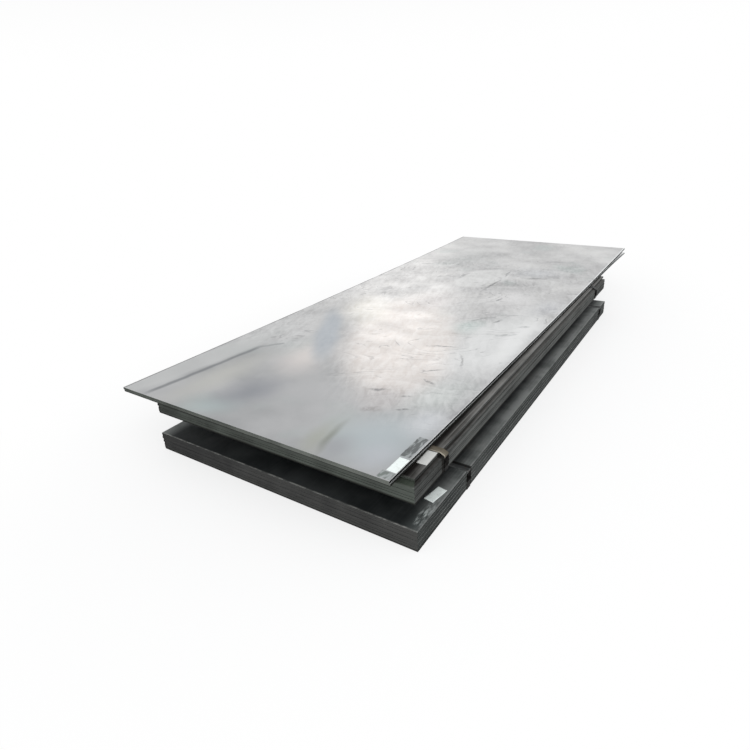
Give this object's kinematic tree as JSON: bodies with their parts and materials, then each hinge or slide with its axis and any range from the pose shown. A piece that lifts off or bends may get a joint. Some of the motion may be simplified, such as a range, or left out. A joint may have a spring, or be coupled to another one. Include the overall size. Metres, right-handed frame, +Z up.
{
  "type": "strapped stack of steel plate",
  "caption": "Stack of hot-rolled steel plate: strapped bundles spaced by timbers, with loose longer plates on top.",
  "frame": {"origin": "middle of the stack's footprint, on the floor under the lower straps", "axes": "+X across the plates, +Y along their length towards the long plates' overhang, +Z up"},
  "size_m": [1.5952, 3.783, 0.2868],
  "materials": {
    "long_plate_steel": "grey mill scale with a broad sheen, stains and rubbed edges",
    "bundle_plate_steel": "dark oiled mill scale with streaked sheared edges",
    "strap_steel": "dull steel band with a brown tint",
    "seal_steel": "dark crimped steel",
    "sawn_timber": "weathered sawn softwood",
    "label_paper": "plain white paper label"
  },
  "bodies": {
    "root": {"bottom_plate_1": "bundle_plate_steel", "bottom_plate_2": "bundle_plate_steel", "bottom_plate_3": "bundle_plate_steel", "bottom_plate_4": "bundle_plate_steel", "bottom_plate_5": "bundle_plate_steel", "bottom_plate_6": "bundle_plate_steel", "bottom_plate_7": "bundle_plate_steel", "bottom_plate_8": "bundle_plate_steel", "bottom_plate_9": "bundle_plate_steel", "bottom_seal_back": "seal_steel", "bottom_seal_front": "seal_steel", "bottom_strap_back": "strap_steel", "bottom_strap_front": "strap_steel", "label_bottom": "label_paper", "label_middle": "label_paper", "label_top": "label_paper", "long_plate_lower": "long_plate_steel", "long_plate_upper": "long_plate_steel", "middle_plate_1": "bundle_plate_steel", "middle_plate_2": "bundle_plate_steel", "middle_plate_3": "bundle_plate_steel", "middle_plate_4": "bundle_plate_steel", "middle_plate_5": "bundle_plate_steel", "middle_plate_6": "bundle_plate_steel", "middle_plate_7": "bundle_plate_steel", "middle_plate_8": "bundle_plate_steel", "middle_seal_back": "seal_steel", "middle_seal_front": "seal_steel", "middle_strap_back": "strap_steel", "middle_strap_front": "strap_steel", "timber_back": "sawn_timber", "timber_centre": "sawn_timber", "timber_front": "sawn_timber"}
  },
  "joints": []
}
